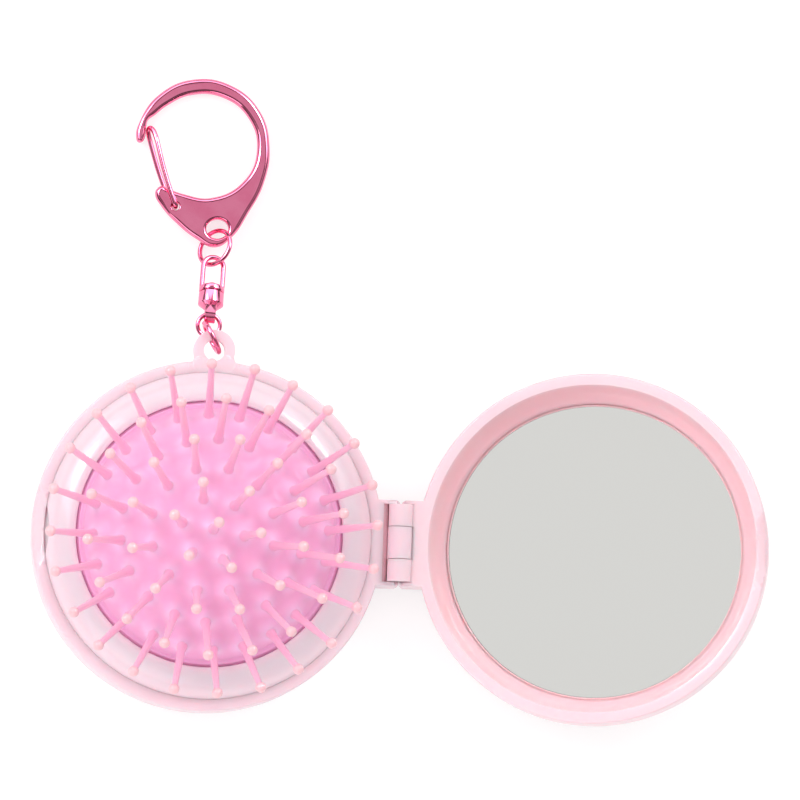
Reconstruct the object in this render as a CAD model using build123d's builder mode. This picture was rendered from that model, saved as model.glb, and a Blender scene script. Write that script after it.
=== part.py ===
"""Folding pop-up hairbrush with a mirror lid, a swivel chain and a snap clasp.

Millimetres. The brush half lies on its back on Z = 0, centred on the origin, with the
hinge towards +X, the key loop towards +Y and the pins towards +Z. The mirror lid is
modelled open at lid_open_angle, about a hinge axis that lies in the parting plane.
"""

from build123d import *
import os
from math import asin, cos, degrees, radians, sin, sqrt

os.makedirs("parts", exist_ok=True)

# --- Compact case: two round halves that close on a parting plane -----------------------
case_radius = 33.0
half_height = 12.0          # from the parting plane to the back of either half
parting_gap = 0.1           # between the two rims when the case is closed
back_round = 3.0            # edge radius of both backs
rim_bevel = 0.35            # on the rims' outer edges
base_wall = 1.3
base_floor = 1.7
lid_rim_width = 2.1

# --- Collar that covers the edge of the brush opening ----------------------------------
collar_rim = 2.2            # rim left outside the rebate that takes the collar
collar_seat_depth = 0.9
ledge_width = 0.8           # ledge under the rebate
ledge_height = 0.9
collar_fit = 0.1            # all round the collar in its rebate
collar_width = 8.0          # from the case's outline to the opening
collar_rise = 4.5           # collar's top above the parting plane
collar_lip = 0.9            # thickness at the opening's edge
collar_wall = 1.3

# --- Pop-up carriage: cushion, carrier and push button move together --------------------
sliding_gap = 0.3
flange_overlap = 1.6        # carrier's edge, held under the collar's lip
flange_thickness = 1.1
cushion_gap = 0.6           # between the cushion and the collar's opening
cushion_wall = 2.0
cushion_edge_width = 0.5    # flat edge round the dome
dome_rise = 9.9             # dome's top above the collar's top
dome_crease = 0.3           # step between the cushion's flat edge and its dome
push_hole_width = 17.0      # from the case's outline to the push hole
button_dish = 0.8
hub_radius = 5.0            # carries the middle of the dome
hook_inset = 5.0            # hooks' circle inside the push hole
hook_count = 3
guide_rib_width = 1.2
guide_rib_count = 6

# --- Pins: rings of ball-tipped pins that stand square to the dome ----------------------
ring_counts = [6, 12, 18, 24]
ring_tilts = [10.0, 20.0, 30.0, 40.0]
ring_starts = [-10.0, -12.5, 8.0, 3.0]      # azimuth of the first pin in each ring
pin_length = 14.4                           # from the dome to the centre of the ball
ball_radius = 0.95
stem_root_radius = 0.85
stem_tip_radius = 0.5
root_cone_radius = 1.2
root_cone_height = 0.7
pin_sides = 6

# --- Mirror -----------------------------------------------------------------------------
mirror_depth = 8.5          # below the lid's rim
mirror_margin = 5.05        # from the case's outline to the mirror's edge
mirror_thickness = 1.3
mirror_bevel = 0.25
mirror_fit = 0.15
pad_thickness = 0.4

# --- Thumb scoops opposite the hinge ----------------------------------------------------
scoop_radius = 18.0         # of the scoop's inner edge, in the rim's plane
scoop_reach = 3.1           # how far that edge lies inside the case's outline
scoop_drop = 2.4            # how far the scoop comes down at the outline
scoop_pad_depth = 1.8       # thicker ledge under the scoop

# --- Hinge ------------------------------------------------------------------------------
hinge_reach = 3.2           # from the case's outline to the hinge axis
knuckle_radius = 2.25
knuckle_gap = 0.25          # round a knuckle in the other half's trough
base_knuckle_length = 6.0
barrel_length = 14.5
knuckle_side_gap = 0.1
bracket_length = 16.2
bracket_drop = 8.0          # how far the brackets reach below the parting plane
bracket_corner = 1.0
hinge_pin_radius = 0.8
running_fit = 0.05
stop_gap = 0.06             # between the two brackets' stop faces when fully open
lid_open_angle = 170.0

# --- Key loop on the base ---------------------------------------------------------------
loop_hole_radius = 2.0
loop_radius = 3.9
loop_offset = 2.0           # from the case's outline to the hole's centre
loop_thickness = 2.2
loop_fillet = 1.5

# --- Chain: ring, link, swivel, ring ----------------------------------------------------
chain_slope = 19.4          # degrees below level, from the key loop down to the clasp
chain_heading = 3.5         # degrees from +Y towards +X, seen from above
wire_sides = 8              # every wire is drawn with this many flats
key_ring_radius = 3.0
key_ring_wire = 1.0
key_ring_drop = 0.85        # ring's centre below the middle of the loop
key_ring_heading = 118.0    # direction of the ring's plane, seen from above
key_ring_reach = 2.48       # from the middle of the loop's hole to the ring's centre
key_ring_aside = 0.75
link_radius = 2.12
link_wire = 0.8
link_drop = 1.85
link_reach = 2.42
link_aside = 0.7
swivel_radius = 2.4
eye_end_radius = 1.5
eye_width = 2.0
eye_hole_radius = 0.95
eye_length = 4.55           # from the eye's hole to its swivel face
rivet_radius = 0.8
rivet_head_radius = 1.3
rivet_head_height = 1.0
rivet_start = 2.0           # from the eye's hole to the rivet's blind end
shackle_base = 1.2
shackle_wire = 0.95
shackle_leg_spread = 3.9    # between the centres of the two legs
shackle_length = 8.1        # from its base to the top of its arch
shackle_roll = -6.0
clasp_ring_radius = 3.5
clasp_ring_wire = 0.9
clasp_ring_roll = 41.0

# --- Clasp: flat cast hook with a wire gate ---------------------------------------------
clasp_heading = 10.0        # its axis against +Y, seen from above
clasp_pitch = 3.35          # hook end lies on the table, eye end rides on its ring
clasp_thickness = 2.2
clasp_bevel = 0.55
eye_bevel = 0.3
clasp_inner_radius = 10.0
clasp_outer_radius = 12.6
clasp_eye_offset = 16.1     # from the hook's centre to the eye's centre
clasp_eye_width = 5.3
clasp_eye_height = 4.7
clasp_tail_radius = 3.2
gate_wire = 0.8
gate_length = 15.6
gate_lean = 9.8
gate_width = 1.9
gate_face_gap = 0.1
gate_pivot_radius = 0.5

# --- Derived heights and places ---------------------------------------------------------
parting_z = half_height
rim_z = parting_z - parting_gap / 2
collar_z = parting_z + collar_rise
seat_z = rim_z - collar_seat_depth
ledge_z = seat_z - ledge_height
flange_top = collar_z - collar_lip - sliding_gap
flange_bottom = flange_top - flange_thickness
slide_travel = flange_bottom - base_floor - sliding_gap
button_bottom = slide_travel + sliding_gap
base_inner_radius = case_radius - base_wall
collar_seat_radius = case_radius - collar_rim
ledge_radius = collar_seat_radius - ledge_width
opening_radius = case_radius - collar_width
flange_radius = opening_radius + flange_overlap
cushion_radius = opening_radius - cushion_gap
push_hole_radius = case_radius - push_hole_width
hook_circle = push_hole_radius - hook_inset
mirror_radius = case_radius - mirror_margin
dome_chord = cushion_radius - cushion_edge_width
dome_height_above_edge = dome_rise + dome_crease
dome_radius = (dome_chord**2 + dome_height_above_edge**2) / (2 * dome_height_above_edge)
dome_centre_z = collar_z + dome_rise - dome_radius
hinge_x = case_radius + hinge_reach
lid_tilt = 180.0 - lid_open_angle

lid_x_dir = Vector(cos(radians(lid_tilt)), 0, sin(radians(lid_tilt)))
lid_z_dir = Vector(-sin(radians(lid_tilt)), 0, cos(radians(lid_tilt)))
hinge_point = Vector(hinge_x, 0, parting_z)
lid_frame = Plane(origin=hinge_point, x_dir=lid_x_dir, z_dir=lid_z_dir)
lid_centre = hinge_point + lid_x_dir * hinge_x
lid_section = Plane(origin=lid_centre, x_dir=lid_x_dir, z_dir=(0, -1, 0))
lid_axis = Axis(lid_centre, lid_z_dir)


def finish(part, label, file_name):
    """Name a finished piece and write its STEP file."""
    part.label = label
    export_step(part, f"parts/{file_name}.step")


def scoop_cutter(centre, outward, up):
    """Ball that leaves a lens-shaped scoop in a rim whose plane passes through centre."""
    reach = case_radius - scoop_reach + scoop_radius
    across = reach - case_radius
    rise = (scoop_radius**2 - across**2 - scoop_drop**2) / (2 * scoop_drop)
    ball = Sphere(sqrt(scoop_radius**2 + rise**2), mode=Mode.PRIVATE)
    return ball.moved(Location(centre + outward * reach + up * rise))


# --- base_shell: moulded cup with hinge bracket, key loop and guide ribs ------------------
stop_lean = radians(lid_tilt / 2)
stop_direction = Vector(sin(stop_lean), 0, -cos(stop_lean))

with BuildPart() as base_shell:
    with BuildSketch(Plane.XZ):
        with BuildLine():
            Polyline((0, rim_z), (0, 0), (case_radius - back_round, 0))
            RadiusArc((case_radius - back_round, 0), (case_radius, back_round), -back_round)
            Polyline(
                (case_radius, back_round),
                (case_radius, rim_z - rim_bevel),
                (case_radius - rim_bevel, rim_z),
                (0, rim_z),
            )
        make_face()
    revolve(axis=Axis.Z)

    # Key loop, level with the rim.
    with BuildSketch(Plane.XY.offset(rim_z - loop_thickness)) as loop_sketch:
        Circle(case_radius - rim_bevel)
        with Locations((0, case_radius + loop_offset)):
            Circle(loop_radius)
        fillet(loop_sketch.vertices(), loop_fillet)
        with Locations((0, case_radius + loop_offset)):
            Circle(loop_hole_radius, mode=Mode.SUBTRACT)
    extrude(amount=loop_thickness)

    # Hinge bracket: a block under the barrel, with cheeks that rise to the rim.
    with BuildSketch(Plane.XZ.offset(-bracket_length / 2)):
        with BuildLine():
            stop_x = hinge_x - stop_gap / 2
            foot = Vector(stop_x, rim_z) + Vector(stop_direction.X, stop_direction.Z) * (
                bracket_drop - parting_gap
            )
            Polyline(
                (case_radius - 6, rim_z),
                (stop_x, rim_z),
                (foot.X, foot.Y),
                (case_radius - 6, foot.Y - 2.0),
                close=True,
            )
        make_face()
    extrude(amount=bracket_length)
    stop_edges = base_shell.edges().filter_by(
        lambda e: abs(abs(e.center().Y) - bracket_length / 2) < 0.01 and e.center().X > case_radius + 1
        and e.bounding_box().size.Z > bracket_drop / 2
    )
    fillet(stop_edges, bracket_corner)

    # Room for the barrel between the cheeks, then the base's own knuckle on its web.
    with BuildSketch(Plane.XZ.offset(-(barrel_length / 2 + knuckle_side_gap))):
        with BuildLine():
            clear = knuckle_radius + knuckle_gap
            Polyline(
                (case_radius + 0.0, rim_z + 1),
                (case_radius + 0.0, parting_z - clear),
                (hinge_x + 4, parting_z - clear),
                (hinge_x + 4, rim_z + 1),
                close=True,
            )
        make_face()
    extrude(amount=barrel_length + 2 * knuckle_side_gap, mode=Mode.SUBTRACT)
    with BuildSketch(Plane.XZ.offset(-base_knuckle_length / 2)):
        with Locations((hinge_x, parting_z)):
            Circle(knuckle_radius)
        with BuildLine():
            Polyline(
                (hinge_x - knuckle_radius, parting_z),
                (hinge_x - knuckle_radius, parting_z - clear - 1),
                (hinge_x - stop_gap / 2, parting_z - clear - 1),
                (hinge_x - stop_gap / 2, parting_z),
                close=True,
            )
        make_face()
    extrude(amount=base_knuckle_length)

    # Push hole, inside of the cup, ledge and rebate for the collar.
    with BuildSketch(Plane.XZ):
        with BuildLine():
            corner = 1.0
            Polyline(
                (0, rim_z + 5),
                (0, -1),
                (push_hole_radius, -1),
                (push_hole_radius, base_floor),
                (base_inner_radius - corner, base_floor),
                (base_inner_radius, base_floor + corner),
                (base_inner_radius, ledge_z - (base_inner_radius - ledge_radius) / 2),
                (ledge_radius, ledge_z),
                (ledge_radius, seat_z),
                (collar_seat_radius, seat_z),
                (collar_seat_radius, rim_z + 5),
                (0, rim_z + 5),
            )
        make_face()
    revolve(axis=Axis.Z, mode=Mode.SUBTRACT)
    chamfer(base_shell.edges().filter_by(GeomType.CIRCLE).filter_by(
        lambda e: abs(e.radius - push_hole_radius) < 0.01 and e.center().Z < 0.1), 0.5)

    # Guide ribs for the carriage, between the outer pins.
    rib_start = ring_starts[3] + 180 / ring_counts[3]
    rib_height = ledge_z - base_floor
    with BuildSketch(Plane.XY.offset(base_floor)):
        with PolarLocations(0, guide_rib_count, start_angle=rib_start):
            with Locations(((flange_radius + sliding_gap + base_inner_radius + 0.4) / 2, 0)):
                Rectangle(base_inner_radius + 0.4 - flange_radius - sliding_gap, guide_rib_width)
    extrude(amount=rib_height)

    # Thicker ledge under the thumb scoop.
    with BuildSketch(Plane.XY.offset(ledge_z - scoop_pad_depth)):
        Circle(base_inner_radius + 0.4)
        Circle(ledge_radius, mode=Mode.SUBTRACT)
        with Locations((-case_radius, 0)):
            Rectangle(case_radius, scoop_radius, mode=Mode.INTERSECT)
    extrude(amount=scoop_pad_depth)
    add(scoop_cutter(Vector(0, 0, rim_z), Vector(-1, 0, 0), Vector(0, 0, 1)), mode=Mode.SUBTRACT)

    # Hinge pin's bore, a press fit in this knuckle.
    with BuildSketch(Plane.XZ.offset(-barrel_length)):
        with Locations((hinge_x, parting_z)):
            Circle(hinge_pin_radius)
    extrude(amount=2 * barrel_length, mode=Mode.SUBTRACT)
finish(base_shell.part, "base_shell", "base_shell")

# --- front_collar: ring that snaps into the base and holds the carriage ------------------
with BuildPart() as front_collar:
    foot_radius = collar_seat_radius - collar_fit
    inner_foot = foot_radius - collar_wall - 0.3
    lip_under = collar_z - collar_lip
    with BuildSketch(Plane.XZ):
        with BuildLine():
            Polyline(
                (inner_foot, seat_z),
                (foot_radius, seat_z),
                (foot_radius, rim_z),
                (foot_radius - 0.3, rim_z),
                (foot_radius - 0.6, rim_z + 1.9),
                (foot_radius - 1.6, rim_z + 3.3),
                (opening_radius + 2.4, collar_z - 0.45),
                (opening_radius + 1.2, collar_z - 0.1),
                (opening_radius + 0.3, collar_z),
                (opening_radius, collar_z - 0.3),
                (opening_radius, lip_under),
                (flange_radius + sliding_gap, lip_under),
                (inner_foot - 0.65, rim_z + 2.2),
                (inner_foot, rim_z),
                close=True,
            )
        make_face()
    revolve(axis=Axis.Z)
    add(scoop_cutter(Vector(0, 0, rim_z), Vector(-1, 0, 0), Vector(0, 0, 1)), mode=Mode.SUBTRACT)
finish(front_collar.part, "front_collar", "front_collar")

# --- cushion: hollow rubber dome with a flat edge ----------------------------------------
dome_centre = (0, dome_centre_z)


def dome_height(radius, sphere_radius):
    """Height of a sphere about the dome's centre, at a distance from the axis."""
    return dome_centre_z + sqrt(sphere_radius**2 - radius**2)


with BuildPart() as cushion:
    crease_z = collar_z - dome_crease
    crease_radius = sqrt(dome_radius**2 - (crease_z - dome_centre_z) ** 2) - 0.4
    inner_sphere = dome_radius - cushion_wall
    bore_radius = sqrt(inner_sphere**2 - (flange_top - dome_centre_z) ** 2)
    hub_top = dome_height(hub_radius + 0.3, inner_sphere)
    with BuildSketch(Plane.XZ):
        with BuildLine():
            Polyline(
                (bore_radius, flange_top),
                (cushion_radius, flange_top),
                (cushion_radius, collar_z - 0.5),
                (cushion_radius - 0.4, collar_z - 0.1),
                (crease_radius + 0.5, crease_z),
                (crease_radius, dome_height(crease_radius, dome_radius)),
            )
            ThreePointArc(
                (crease_radius, dome_height(crease_radius, dome_radius)),
                (crease_radius / 2, dome_height(crease_radius / 2, dome_radius)),
                (0, dome_centre_z + dome_radius),
            )
            Polyline(
                (0, dome_centre_z + dome_radius),
                (0, hub_top),
                (hub_radius + 0.3, hub_top),
                (bore_radius * 0.6, dome_height(bore_radius * 0.6, inner_sphere)),
                (bore_radius, flange_top),
            )
        make_face()
    revolve(axis=Axis.Z)
finish(cushion.part, "cushion", "cushion")

# --- dome_carrier: plate under the cushion, its edge runs under the collar ---------------
with BuildPart() as dome_carrier:
    with BuildSketch(Plane.XY.offset(flange_bottom)):
        Circle(flange_radius)
        with PolarLocations(hook_circle, hook_count):
            Rectangle(2.2, 3.6, mode=Mode.SUBTRACT)
    extrude(amount=flange_thickness)
    # Ring that centres the cushion.
    with BuildSketch(Plane.XY.offset(flange_top)):
        Circle(bore_radius - 1.2)
        Circle(bore_radius - 2.2, mode=Mode.SUBTRACT)
    extrude(amount=0.7)
    # Hub that carries the dome's middle.
    with BuildSketch(Plane.XY.offset(flange_top)):
        Circle(hub_radius)
        Circle(hub_radius - 1.2, mode=Mode.SUBTRACT)
    extrude(amount=hub_top - flange_top)
finish(dome_carrier.part, "dome_carrier", "dome_carrier")

# --- push_button: disc that fills the hole in the back, hooked into the carrier ----------
with BuildPart() as push_button:
    button_radius = push_hole_radius - sliding_gap
    with BuildSketch(Plane.XY.offset(button_bottom)):
        Circle(button_radius)
    extrude(amount=flange_bottom - button_bottom)
    chamfer(push_button.edges().group_by(Axis.Z)[0], 0.4)
    dish_chord = button_radius - 2.0
    dish_radius = (dish_chord**2 + button_dish**2) / (2 * button_dish)
    with Locations((0, 0, button_bottom + button_dish - dish_radius)):
        Sphere(dish_radius, mode=Mode.SUBTRACT)
    # Snap hooks through the carrier.
    with BuildSketch(Plane.XY.offset(flange_bottom)):
        with PolarLocations(hook_circle - 0.3, hook_count):
            Rectangle(1.0, 3.2)
    extrude(amount=flange_thickness + 0.9)
    with BuildSketch(Plane.XY.offset(flange_top + 0.1)):
        with PolarLocations(hook_circle + 0.2, hook_count):
            Rectangle(2.0, 3.2)
    extrude(amount=0.8, taper=25)
finish(push_button.part, "push_button", "push_button")


# --- Pins: one group of separate pins for the centre and for each ring -------------------
def pin_ring(count, tilt, start):
    """Ring of pins square to the dome, as separate solids."""
    with BuildPart() as pins:
        for height, radius in (
            (0, root_cone_radius),
            (root_cone_height, stem_root_radius),
            (pin_length - 0.9 * ball_radius, stem_tip_radius),
            (pin_length, ball_radius),
            (pin_length + 0.67 * ball_radius, 0.74 * ball_radius),
            (pin_length + ball_radius, 0.3 * ball_radius),
        ):
            with BuildSketch(Plane.XY.offset(height)):
                RegularPolygon(radius, pin_sides)
        loft(ruled=True)
    pin = pins.part.solid()
    places = []
    for index in range(count):
        turn = radians(start + 360.0 / count * index)
        outward = Vector(
            sin(radians(tilt)) * cos(turn), sin(radians(tilt)) * sin(turn), cos(radians(tilt))
        )
        root = Vector(0, 0, dome_centre_z) + outward * dome_radius
        places.append(Plane(origin=root, z_dir=outward).location * pin)
    return Compound(children=places)


finish(pin_ring(1, 0.0, 0.0), "centre_pin", "centre_pin")
for ring_number, (count, tilt, start) in enumerate(zip(ring_counts, ring_tilts, ring_starts), 1):
    finish(pin_ring(count, tilt, start), f"pins_ring_{ring_number}", f"pins_ring_{ring_number}")

# --- lid_shell: moulded bowl with hinge leaf and two knuckles -----------------------------
mirror_seat = mirror_depth + mirror_thickness + pad_thickness
recess_radius = mirror_radius + mirror_fit

with BuildPart() as lid_shell:
    with BuildSketch(lid_section):
        with BuildLine():
            Polyline((0, -parting_gap / 2), (0, -half_height), (case_radius - back_round, -half_height))
            RadiusArc(
                (case_radius - back_round, -half_height), (case_radius, back_round - half_height), -back_round
            )
            Polyline(
                (case_radius, back_round - half_height),
                (case_radius, -parting_gap / 2 - rim_bevel),
                (case_radius - rim_bevel, -parting_gap / 2),
                (0, -parting_gap / 2),
            )
        make_face()
    revolve(axis=lid_axis)

    # Hinge leaf, level with the rim, with a stop face under the barrel.
    with BuildSketch(lid_frame * Plane.XZ.offset(-bracket_length / 2)):
        with BuildLine():
            lean = Vector(-sin(stop_lean), -cos(stop_lean)) * (bracket_drop - parting_gap)
            Polyline(
                (hinge_reach + 6, -parting_gap / 2),
                (stop_gap / 2, -parting_gap / 2),
                (stop_gap / 2 + lean.X, -parting_gap / 2 + lean.Y),
                (hinge_reach + 6, -parting_gap / 2 + lean.Y - 2.0),
                close=True,
            )
        make_face()
    extrude(amount=bracket_length)
    lid_stop_edges = lid_shell.edges().filter_by(
        lambda e: abs(abs(e.center().Y) - bracket_length / 2) < 0.01
        and abs(e.center().X - hinge_x) < 1.0 and e.bounding_box().size.Z > bracket_drop / 2
    )
    fillet(lid_stop_edges, bracket_corner)

    # Trough for the base's knuckle, room at the barrel's ends, then the lid's own knuckles.
    with BuildSketch(lid_frame * Plane.XZ.offset(-(barrel_length / 2 + knuckle_side_gap))):
        Circle(knuckle_radius + knuckle_gap)
    extrude(amount=barrel_length + 2 * knuckle_side_gap, mode=Mode.SUBTRACT)
    lid_knuckle_length = (barrel_length - base_knuckle_length) / 2 - knuckle_side_gap
    for side in (-1, 1):
        inner_end = side * (base_knuckle_length / 2 + knuckle_side_gap)
        with BuildSketch(lid_frame * Plane.XZ.offset(-inner_end)):
            Circle(knuckle_radius)
            with BuildLine():
                Polyline(
                    (0.3, -parting_gap / 2),
                    (0.3, -knuckle_radius - knuckle_gap - 0.6),
                    (knuckle_radius + knuckle_gap + 0.6, -knuckle_radius - knuckle_gap - 0.6),
                    (knuckle_radius + knuckle_gap + 0.6, -parting_gap / 2),
                    close=True,
                )
            make_face()
        extrude(amount=-side * lid_knuckle_length)

    # Bowl and mirror recess.
    with BuildSketch(lid_section):
        with BuildLine():
            bowl_radius = case_radius - lid_rim_width
            Polyline(
                (0, 3),
                (0, -mirror_seat),
                (recess_radius, -mirror_seat),
                (recess_radius, -mirror_depth),
                (bowl_radius - 1.3, -mirror_depth * 0.8),
                (bowl_radius - 0.5, -mirror_depth * 0.5),
                (bowl_radius, -parting_gap / 2 - 0.6),
                (bowl_radius, 3),
                close=True,
            )
        make_face()
    revolve(axis=lid_axis, mode=Mode.SUBTRACT)
    add(
        scoop_cutter(lid_centre - lid_z_dir * (parting_gap / 2), lid_x_dir, lid_z_dir), mode=Mode.SUBTRACT
    )

    # Hinge pin's bore, a running fit.
    with BuildSketch(lid_frame * Plane.XZ.offset(-barrel_length)):
        Circle(hinge_pin_radius + running_fit)
    extrude(amount=2 * barrel_length, mode=Mode.SUBTRACT)
finish(lid_shell.part, "lid_shell", "lid_shell")

# --- hinge_pin ------------------------------------------------------------------------------
with BuildPart() as hinge_pin:
    with BuildSketch(Plane.XZ.offset(-(barrel_length / 2 - 0.1))):
        with Locations((hinge_x, parting_z)):
            Circle(hinge_pin_radius)
    extrude(amount=barrel_length - 0.2)
    chamfer(hinge_pin.edges().filter_by(GeomType.CIRCLE), 0.15)
finish(hinge_pin.part, "hinge_pin", "hinge_pin")

# --- mirror and its foam pad -----------------------------------------------------------------
with BuildPart() as mirror:
    with BuildSketch(Plane(origin=lid_centre - lid_z_dir * (mirror_depth + mirror_thickness),
                           x_dir=lid_x_dir, z_dir=lid_z_dir)):
        Circle(mirror_radius)
    extrude(amount=mirror_thickness)
    chamfer(mirror.faces().sort_by(lid_axis)[-1].edges(), mirror_bevel)
finish(mirror.part, "mirror", "mirror")

with BuildPart() as mirror_pad:
    with BuildSketch(Plane(origin=lid_centre - lid_z_dir * mirror_seat, x_dir=lid_x_dir, z_dir=lid_z_dir)):
        Circle(mirror_radius - 1.0)
    extrude(amount=pad_thickness)
finish(mirror_pad.part, "mirror_pad", "mirror_pad")


# --- Chain: every link lies where the one before it lets it --------------------------------
def wire_ring(centre, across, along, mean_radius, wire):
    """Closed round ring in the plane of two directions."""
    normal = across.cross(along)
    with BuildPart() as ring:
        with BuildSketch(Plane(origin=centre + across * mean_radius, x_dir=across, z_dir=along)):
            RegularPolygon(wire / 2, wire_sides)
        revolve(axis=Axis(centre, normal))
    return ring.part


up = Vector(0, 0, 1)
loop_middle = Vector(0, case_radius + loop_offset, rim_z - loop_thickness / 2)
key_ring_along = Vector(cos(radians(key_ring_heading)), sin(radians(key_ring_heading)), 0)
key_ring_aside_dir = Vector(sin(radians(key_ring_heading)), -cos(radians(key_ring_heading)), 0)
key_ring_centre = (
    loop_middle + key_ring_along * key_ring_reach + key_ring_aside_dir * key_ring_aside
    - up * key_ring_drop
)
finish(
    wire_ring(key_ring_centre, key_ring_along, up, key_ring_radius, key_ring_wire),
    "key_ring", "key_ring",
)

link_centre = (
    key_ring_centre + key_ring_along * link_reach + key_ring_aside_dir * link_aside - up * link_drop
)
chain_level = Vector(sin(radians(chain_heading)), cos(radians(chain_heading)), 0)
chain_across = chain_level.cross(up)
finish(
    wire_ring(link_centre, chain_across, chain_level, link_radius, link_wire),
    "link_ring", "link_ring",
)

chain_down = chain_level * cos(radians(chain_slope)) - up * sin(radians(chain_slope))
chain_up = chain_across.cross(chain_down)
eye_centre = link_centre + chain_level * (link_radius - 0.16)


def on_chain(distance):
    """Point on the swivel's axis, a distance from the middle of its eye."""
    return eye_centre + chain_down * distance


with BuildPart() as swivel_eye:
    with BuildSketch(Plane(origin=eye_centre - chain_across * (eye_width / 2), x_dir=chain_down,
                           z_dir=chain_across)):
        Circle(eye_end_radius)
        with Locations((eye_length / 2 - 0.2, 0)):
            Rectangle(eye_length - 0.4, 2 * eye_end_radius)
    extrude(amount=eye_width)
    with BuildSketch(Plane(origin=eye_centre, x_dir=chain_across, z_dir=chain_up)):
        with BuildLine():
            Polyline(
                (0, 1.3), (1.3, 1.3), (swivel_radius, 2.2), (swivel_radius, eye_length - 0.2),
                (swivel_radius - 0.2, eye_length), (0, eye_length), close=True,
            )
        make_face()
    revolve(axis=Axis(eye_centre, chain_down))
    with BuildSketch(Plane(origin=eye_centre - chain_across * 5, x_dir=chain_down, z_dir=chain_across)):
        Circle(eye_hole_radius)
    extrude(amount=10, mode=Mode.SUBTRACT)
    with BuildSketch(Plane(origin=on_chain(eye_length + 1), x_dir=chain_across, z_dir=chain_down)):
        Circle(rivet_radius)
    extrude(amount=-(eye_length + 1 - rivet_start), mode=Mode.SUBTRACT)
finish(swivel_eye.part, "swivel_eye", "swivel_eye")

shackle_start = eye_length + running_fit
with BuildPart() as swivel_rivet:
    head_start = shackle_start + shackle_base + running_fit
    with BuildSketch(Plane(origin=eye_centre, x_dir=chain_across, z_dir=chain_up)):
        with BuildLine():
            Polyline(
                (0, head_start + rivet_head_height), (0, rivet_start), (rivet_radius, rivet_start),
                (rivet_radius, head_start), (rivet_head_radius, head_start),
            )
            head_curve = (rivet_head_radius**2 + rivet_head_height**2) / (2 * rivet_head_height)
            head_edge = degrees(asin((head_curve - rivet_head_height) / head_curve))
            CenterArc((0, head_start + rivet_head_height - head_curve), head_curve, head_edge, 90 - head_edge)
        make_face()
    revolve(axis=Axis(eye_centre, chain_down))
finish(swivel_rivet.part, "swivel_rivet", "swivel_rivet")


def rolled(angle):
    """Direction square to the chain, turned about it by an angle from level."""
    return chain_across * cos(radians(angle)) + chain_up * sin(radians(angle))


shackle_across = rolled(shackle_roll)
leg = shackle_leg_spread / 2
arch_centre = shackle_start + shackle_length - shackle_wire / 2 - leg
with BuildPart() as swivel_shackle:
    with BuildSketch(Plane(origin=eye_centre, x_dir=chain_across, z_dir=chain_up)):
        with BuildLine():
            Polyline(
                (rivet_radius + running_fit, shackle_start), (swivel_radius - 0.2, shackle_start),
                (swivel_radius, shackle_start + 0.2), (swivel_radius, shackle_start + shackle_base - 0.2),
                (swivel_radius - 0.2, shackle_start + shackle_base),
                (rivet_radius + running_fit, shackle_start + shackle_base), close=True,
            )
        make_face()
    revolve(axis=Axis(eye_centre, chain_down))
    with BuildLine() as shackle_path:
        low, high = on_chain(shackle_start + shackle_base - 0.3), on_chain(arch_centre)
        Line(low - shackle_across * leg, high - shackle_across * leg)
        ThreePointArc(
            high - shackle_across * leg, on_chain(arch_centre + leg), high + shackle_across * leg
        )
        Line(high + shackle_across * leg, low + shackle_across * leg)
    with BuildSketch(Plane(origin=low - shackle_across * leg, x_dir=shackle_across, z_dir=chain_down)):
        RegularPolygon(shackle_wire / 2, wire_sides)
    sweep(path=shackle_path.line)
finish(swivel_shackle.part, "swivel_shackle", "swivel_shackle")

clasp_ring_across = rolled(clasp_ring_roll)
arch_inside = arch_centre + leg - shackle_wire / 2
clasp_ring_centre = on_chain(arch_inside - 0.5 - clasp_ring_wire / 2 + clasp_ring_radius)
finish(
    wire_ring(clasp_ring_centre, clasp_ring_across, chain_down, clasp_ring_radius, clasp_ring_wire),
    "clasp_ring", "clasp_ring",
)

# --- Clasp: outline of arcs about the hook's centre, bevelled on both faces ------------------
clasp_x = Vector(cos(radians(clasp_heading)), sin(radians(clasp_heading)), 0)
clasp_level = Vector(-sin(radians(clasp_heading)), cos(radians(clasp_heading)), 0)
clasp_y = clasp_level * cos(radians(clasp_pitch)) - up * sin(radians(clasp_pitch))
clasp_normal = clasp_x.cross(clasp_y)
ring_far_side = clasp_ring_centre + chain_down * clasp_ring_radius
clasp_eye = ring_far_side + Vector(0.15, 0.15, 0.65)
hook_centre = clasp_eye + clasp_y * clasp_eye_offset
clasp_plane = Plane(origin=hook_centre, x_dir=clasp_x, z_dir=clasp_normal)
pivot_x, pivot_y = -7.15, -10.6


def on_circle(radius, angle):
    """Point on a circle about the hook's centre."""
    return (radius * cos(radians(angle)), radius * sin(radians(angle)))


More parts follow.
